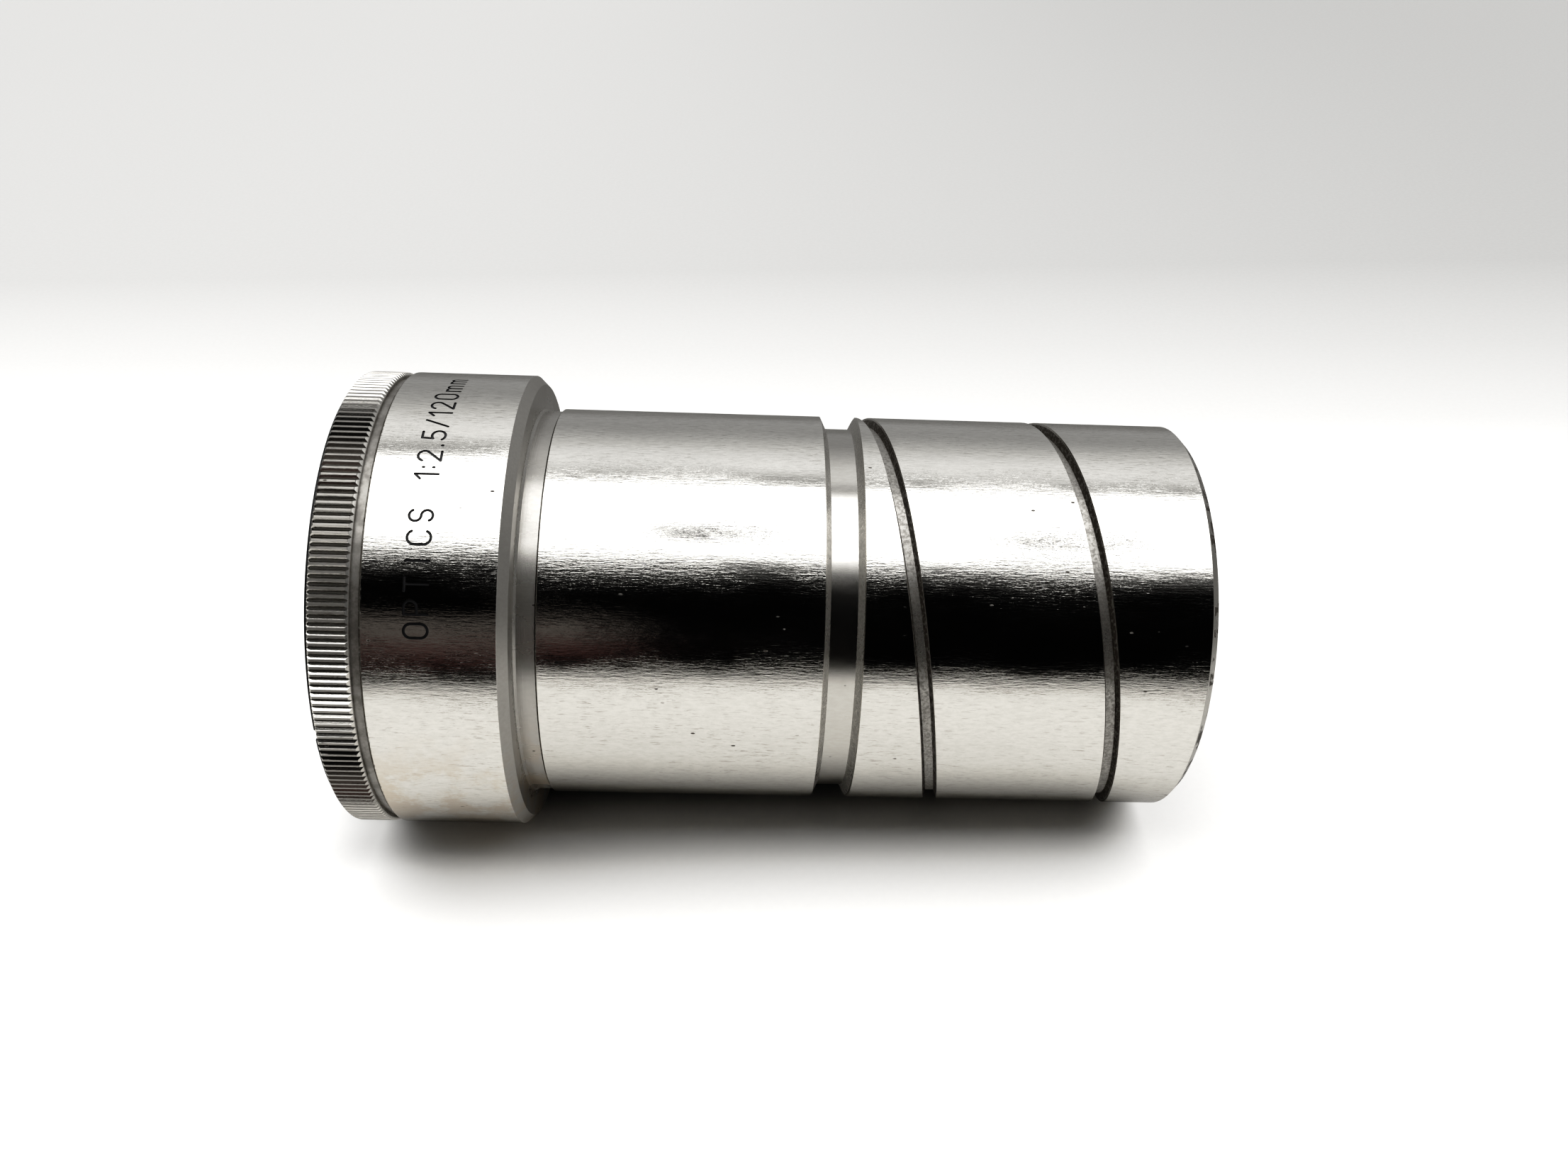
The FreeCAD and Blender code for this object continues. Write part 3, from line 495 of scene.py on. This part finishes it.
def sphere_normals(name, spheres):
    """Exact normals for the spherical faces of a glass."""
    tree = Geometry(name)
    position = tree.node("GeometryNodeInputPosition").outputs[0]
    normals = tree.node("GeometryNodeInputNormal")
    normal = normals.outputs["Normal"]
    face_normal = normals.outputs["True Normal"]
    for centre, radius in spheres:
        reach = tree.vector("SUBTRACT", position, (centre, 0, 0))
        miss = tree.math("ABSOLUTE", tree.math("SUBTRACT", tree.vector("LENGTH", reach), radius))
        mean_miss = tree.on_faces(tree.island_mean(tree.joined(tree.on_faces(miss, "FLOAT"), 0.0, 0.0)))
        on_sphere = tree.math("LESS_THAN", tree.parts(mean_miss)["X"], SPHERE_MISS)
        away = tree.vector("NORMALIZE", reach)
        side = tree.math("SIGN", tree.vector("DOT_PRODUCT", away, tree.on_faces(face_normal)))
        normal = tree.chosen(on_sphere, normal, tree.scaled(away, side))
    return tree.finish(normal)


def give_normals(node_name, tree):
    """Add a modifier that only sets a CAD node's normals."""
    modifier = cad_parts[node_name].modifiers.new("exact_normals", "NODES")
    modifier.node_group = tree


def dress(node_name, finish):
    """Give a CAD node a material in place of its plain one."""
    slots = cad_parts[node_name].data.materials
    slots.clear()
    slots.append(finish)


dress("barrel", aluminium("barrel_aluminium", BARREL_RADIUS, barrel_dirt_and_shade))
dress("head_shell", aluminium("head_aluminium", HEAD_RADIUS, head_dirt_and_shade, paint=engraving, stains=0.75))
dress("knurled_ring", aluminium("knurl_aluminium", KNURL_RADIUS, knurl_dirt_and_shade, rounding=0.17))

black = anodised("black_anodised")
shim = brass("shim_brass")
axis_normals = turned_normals()
for node_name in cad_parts:
    if node_name in GLASS_SPHERES:
        edge_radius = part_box(node_name)[1].z / MM
        dress(node_name, coated_glass(node_name + "_glass", edge_radius))
        give_normals(node_name, sphere_normals(node_name + "_normals", GLASS_SPHERES[node_name]))
        continue
    give_normals(node_name, axis_normals)
    if node_name.endswith("_shim"):
        dress(node_name, shim)
    elif node_name not in ("barrel", "head_shell", "knurled_ring"):
        dress(node_name, black)


# The paper under the lens: half its width, and how pale it is by its depth behind the axis, as a share of
# PAPER_DEPTH; this paling is painted shade. The metal mirrors it darker than it is. The lens rests on it
# along the span given below, where a painted shadow darkens it.
PAPER_HALF_WIDTH = 3.0
PAPER_DEPTH = 500 * MM
PAPER_SHADE_TONES = ((0.0, 0.95), (0.12, 0.95), (0.22, 0.66), (0.30, 0.55), (0.41, 0.44), (1.0, 0.43))
PAPER_TINT = (1.0, 0.993, 0.975)
MIRRORED_TINT = (1.0, 0.985, 0.95)
MIRRORED_BEHIND = 0.13
LENS_MIDDLE = 15 * MM
CONTACT_SHADOW_SPAN = (-26 * MM, 81 * MM)


def tinted(shader, value, tint):
    """A colour from a grey level and a tint."""
    return shader.joined(*(value if share == 1.0 else shader.times(value, share) for share in tint))


def floor_paper():
    """White paper with painted shade: it darkens towards the back and along the axis towards the rear, and
    a painted shadow darkens it under the lens.
    """
    made, shader, surface = material("floor_paper")
    position = shader.node("ShaderNodeTexCoord").outputs["Object"]
    along = shader.parts(position)["X"]
    depth = shader.parts(position)["Y"]
    side = shader.math("ABSOLUTE", depth)

    # Painted shade: the paper darkens with depth behind the axis and along the axis towards the rear.
    pale = shader.times(shader.ramp(shader.math("DIVIDE", depth, PAPER_DEPTH), PAPER_SHADE_TONES),
                        shader.step(along, -150 * MM, 350 * MM, start=1.06, end=0.80))
    fibres = shader.noise(position, 900, detail=3.0, roughness=0.6)
    pale = shader.math("ADD", pale, shader.step(fibres, 0.3, 0.7, start=-0.006, end=0.006))

    # Painted shadow: where the lens all but touches the paper, its colour is darkened, as next to no light
    # gets in.
    contact_shadow = shader.math("ADD", shader.step(side, 3.5 * MM, 13 * MM, start=0.04, end=0.7),
                            shader.step(side, 15 * MM, 23 * MM, start=0.0, end=0.3))
    under = shader.band(along, *CONTACT_SHADOW_SPAN, soft=4 * MM)
    pale = shader.times(pale, shader.math("ADD", shader.times(contact_shadow, under), shader.inverse(under)))

    # Painted reflection: the paper's colour for mirror rays, bright close in front of the lens and fading
    # with distance, with painted shade close beside the lens and behind it.
    reach = shader.vector("LENGTH", shader.vector("SUBTRACT", position, (LENS_MIDDLE, 0, 0)))
    front = shader.times(shader.step(reach, 130 * MM, 420 * MM, start=0.58, end=0.01),
                         shader.step(side, 10 * MM, 32 * MM, start=0.65, end=1.0))
    behind = shader.step(depth, -12 * MM, 8 * MM)
    mirrored = shader.math("ADD", shader.times(front, shader.inverse(behind)),
                           shader.times(behind, MIRRORED_BEHIND))

    rays = shader.node("ShaderNodeLightPath")
    colour = shader.mix(rays.outputs["Is Glossy Ray"], tinted(shader, pale, PAPER_TINT),
                        tinted(shader, mirrored, MIRRORED_TINT))
    shader.plug(surface.inputs["Base Color"], colour)
    surface.inputs["Roughness"].default_value = 0.9
    surface.inputs["Specular IOR Level"].default_value = 0.1
    return made


def studio_floor():
    """A large pale floor under the lens, which rests on its head and on the rear edge of its barrel."""
    rear_edge = BARREL_REAR - BARREL_REAR_BEVEL
    slope = math.atan2(HEAD_RADIUS - BARREL_RADIUS, rear_edge - HEAD_REAR_EDGE)
    mesh = bpy.data.meshes.new("floor")
    reach = PAPER_HALF_WIDTH
    corners = [(-reach, -reach, 0), (reach, -reach, 0), (reach, reach, 0), (-reach, reach, 0)]
    mesh.from_pydata(corners, [], [(0, 1, 2, 3)])
    mesh.materials.append(floor_paper())
    floor = bpy.data.objects.new("floor", mesh)
    bpy.context.scene.collection.objects.link(floor)
    floor.rotation_euler = (0, -slope, 0)
    floor.location = (HEAD_REAR_EDGE * MM, 0, -HEAD_RADIUS * MM)


# The room that the metal mirrors, by angle round the lens's axis: 0 is level towards the front of the
# table, 90 is up and 180 is level behind it. The levels are shares of the light panel's.
ROOM = (
    (-180, 0.12), (-10, 0.12), (-8, 0.001),
    (46.5, 0.001), (52.5, 0.02), (59.5, 0.08), (63.5, 0.9), (65, 1.0),
    (104.5, 1.0), (109, 0.14), (114, 0.13), (120, 0.34), (130, 0.30), (144, 0.18), (156, 0.12),
    (180, 0.12),
)
PANEL_LIGHT = 3.0
FLOOR_BOOST = 2.1
ENDS_GREY = (0.06, 0.06, 0.06, 1)
BACKDROP = (0.8, 0.8, 0.8, 1)

# The panel's thin dark joint and the board: their angles, in degrees, and where they lie along the axis, as
# the X of the direction to them.
JOINT_ANGLES = (70.0, 82.0)
JOINT_STRETCHES = ((-0.07, 0.03), (0.19, 0.30))
JOINT_DARK = (0.02, 0.02, 0.023, 1)
BOARD_ANGLES = (3, 25)
BOARD_EDGE = -0.084
BOARD_BROWN = (0.030, 0.019, 0.018, 1)
BOARD_GREY = (0.040, 0.037, 0.035, 1)


def studio_world():
    """A soft light panel overhead, a grey wall behind and a dark room in front, for the metal to mirror."""
    world = bpy.data.worlds.new("studio")
    bpy.context.scene.world = world
    world.use_nodes = True
    shader = Shader(world.node_tree)
    parts = shader.parts(shader.node("ShaderNodeTexCoord").outputs["Generated"])
    angle = shader.math("ARCTAN2", parts["Z"], shader.math("MULTIPLY", parts["Y"], -1.0))
    turn = shader.math("ADD", shader.math("DIVIDE", angle, 2 * math.pi), 0.5)
    level = shader.ramp(turn, [((degrees + 180) / 360, share) for degrees, share in ROOM])
    degrees = shader.math("MULTIPLY", angle, 180 / math.pi)

    # The panel has a thin dark joint, which shows in some places only.
    patches = [shader.band(parts["X"], *stretch, soft=0.03) for stretch in JOINT_STRETCHES]
    joint = shader.times(shader.band(degrees, *JOINT_ANGLES, soft=0.5), shader.math("ADD", *patches))
    room = shader.mix(joint, level, JOINT_DARK)

    # A dim board in the dark room, to the left of the camera: grey above, brown below.
    board_tone = shader.mix(shader.step(degrees, 11, 13), BOARD_BROWN, BOARD_GREY)
    board = shader.times(shader.band(degrees, *BOARD_ANGLES, soft=1.0),
                         shader.step(parts["X"], BOARD_EDGE, BOARD_EDGE - 0.006))
    room = shader.mix(board, room, board_tone)

    # Towards the two ends of the axis the room is an even grey.
    ends = shader.step(shader.math("ABSOLUTE", parts["X"]), 0.6, 0.9)
    room = shader.mix(ends, room, ENDS_GREY)

    # The white floor is lit harder than the metal shows, so that it burns out to white.
    rays = shader.node("ShaderNodeLightPath")
    light = shader.node("ShaderNodeBackground")
    shader.plug(light.inputs["Color"], room)
    strength = shader.step(rays.outputs["Is Diffuse Ray"], 0.0, 1.0,
                           start=PANEL_LIGHT, end=PANEL_LIGHT * FLOOR_BOOST)
    shader.plug(light.inputs["Strength"], strength)
    plain = shader.node("ShaderNodeBackground")
    plain.inputs["Color"].default_value = BACKDROP
    seen = shader.node("ShaderNodeMixShader")
    shader.plug(seen.inputs[0], rays.outputs["Is Camera Ray"])
    shader.plug(seen.inputs[1], light.outputs[0])
    shader.plug(seen.inputs[2], plain.outputs[0])
    output = shader.node("ShaderNodeOutputWorld")
    shader.plug(output.inputs["Surface"], seen.outputs[0])


# The camera looks across the axis from this height angle and distance. Its three small turns, in degrees,
# are yaw, pitch and roll. FOCAL_LENGTH is on the scale on which the image is IMAGE_WIDTH wide.
CAMERA_HEIGHT_ANGLE = 35.0
CAMERA_DISTANCE = 183.5 * MM
CAMERA_ALONG_AXIS = 24.05 * MM
CAMERA_TURNS = (("Z", -1.994), ("X", 0.745), ("Y", -1.415))
IMAGE_WIDTH = 2212
FOCAL_LENGTH = 1854.1
SENSOR_WIDTH = 36.0
NEAREST_SEEN = 0.01


def camera():
    """The camera, at the angle that the lens is shown from."""
    data = bpy.data.cameras.new("camera")
    data.sensor_width = SENSOR_WIDTH
    data.sensor_fit = "HORIZONTAL"
    data.lens = SENSOR_WIDTH * FOCAL_LENGTH / IMAGE_WIDTH
    data.clip_start = NEAREST_SEEN
    placed = bpy.data.objects.new("camera", data)
    bpy.context.scene.collection.objects.link(placed)
    lift = Matrix.Rotation(math.radians(-CAMERA_HEIGHT_ANGLE), 3, "X")
    turned = lift
    for axis, turn in CAMERA_TURNS:
        turned = turned @ Matrix.Rotation(math.radians(turn), 3, axis)
    right, ahead, up = turned.col
    place = lift @ Vector((CAMERA_ALONG_AXIS, -CAMERA_DISTANCE, 0))
    placed.matrix_world = Matrix.Translation(place) @ Matrix((right, up, -ahead)).transposed().to_4x4()
    bpy.context.scene.camera = placed


# The camera's own contrast, between black and white: light in and light out.
CONTRAST = ((0.03, 0.010), (0.12, 0.085), (0.30, 0.27), (0.6, 0.63))
COMBINED_CURVE = 3


def tone_curve():
    """A plain display transform with a little more contrast in the shadows."""
    display = bpy.context.scene.view_settings
    display.view_transform = "Standard"
    display.use_curve_mapping = True
    points = display.curve_mapping.curves[COMBINED_CURVE].points
    for place, level in CONTRAST:
        points.new(place, level)
    display.curve_mapping.update()


studio_floor()
studio_world()
camera()
tone_curve()
